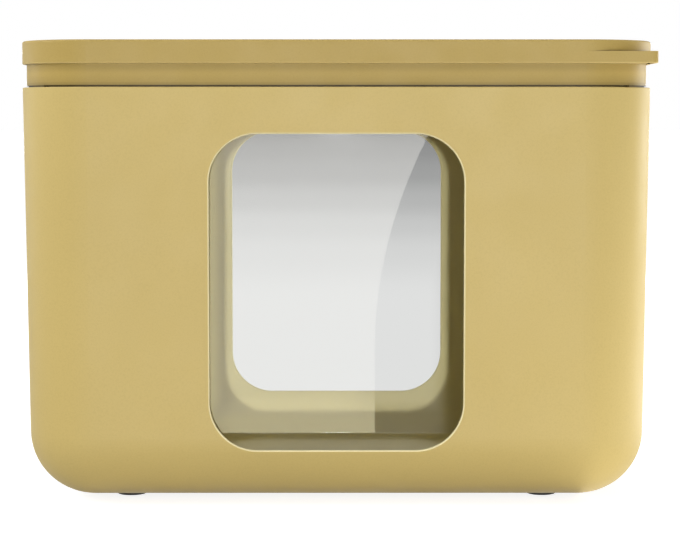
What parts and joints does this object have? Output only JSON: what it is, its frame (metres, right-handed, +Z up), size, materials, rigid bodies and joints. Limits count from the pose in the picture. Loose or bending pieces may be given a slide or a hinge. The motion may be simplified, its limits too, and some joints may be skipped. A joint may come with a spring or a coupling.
{
  "type": "hooded cat litter box",
  "caption": "Enclosed cat litter box: deep moulded tub with a way in at the front and an opening at the back, a swinging clear flap, and a lift-off hood whose hinged lid rises by a corner tab.",
  "frame": {"origin": "middle of the tub's footprint, on the floor under the feet", "axes": "+Z up, -Y towards the front with the flap, +X to the right seen from the front"},
  "size_m": [0.56, 0.406, 0.4098],
  "materials": {
    "tub_plastic": "fine satin moulded surface",
    "hood_plastic": "fine satin moulded surface, a shade darker than the tub",
    "clear_plastic": "clear polished sheet",
    "foot_rubber": "matt black",
    "pin_steel": "bright drawn wire"
  },
  "bodies": {
    "tub_body": {"tub": "tub_plastic", "foot_front_left": "foot_rubber", "foot_front_right": "foot_rubber", "foot_rear_left": "foot_rubber", "foot_rear_right": "foot_rubber", "flap_rod": "pin_steel"},
    "flap_body": {"entry_flap": "clear_plastic"},
    "hood_body": {"hood_frame": "hood_plastic", "lid_hinge_pin_left": "pin_steel", "lid_hinge_pin_right": "pin_steel"},
    "lid_body": {"hood_lid": "hood_plastic"}
  },
  "joints": [
    {"name": "flap_swing", "type": "hinge", "parent": "tub_body", "child": "flap_body", "pos_m": [0, -0.18987, 0.3323], "axis": [1, 0, 0], "range_deg": [0, 80]},
    {"name": "hood_lift", "type": "slide", "parent": "tub_body", "child": "hood_body", "axis": [0, 0, 1], "range_m": [0, 0.15]},
    {"name": "lid_hinge", "type": "hinge", "parent": "hood_body", "child": "lid_body", "pos_m": [0, 0.20148, 0.3834], "axis": [-1, 0, 0], "range_deg": [0, 105]}
  ]
}
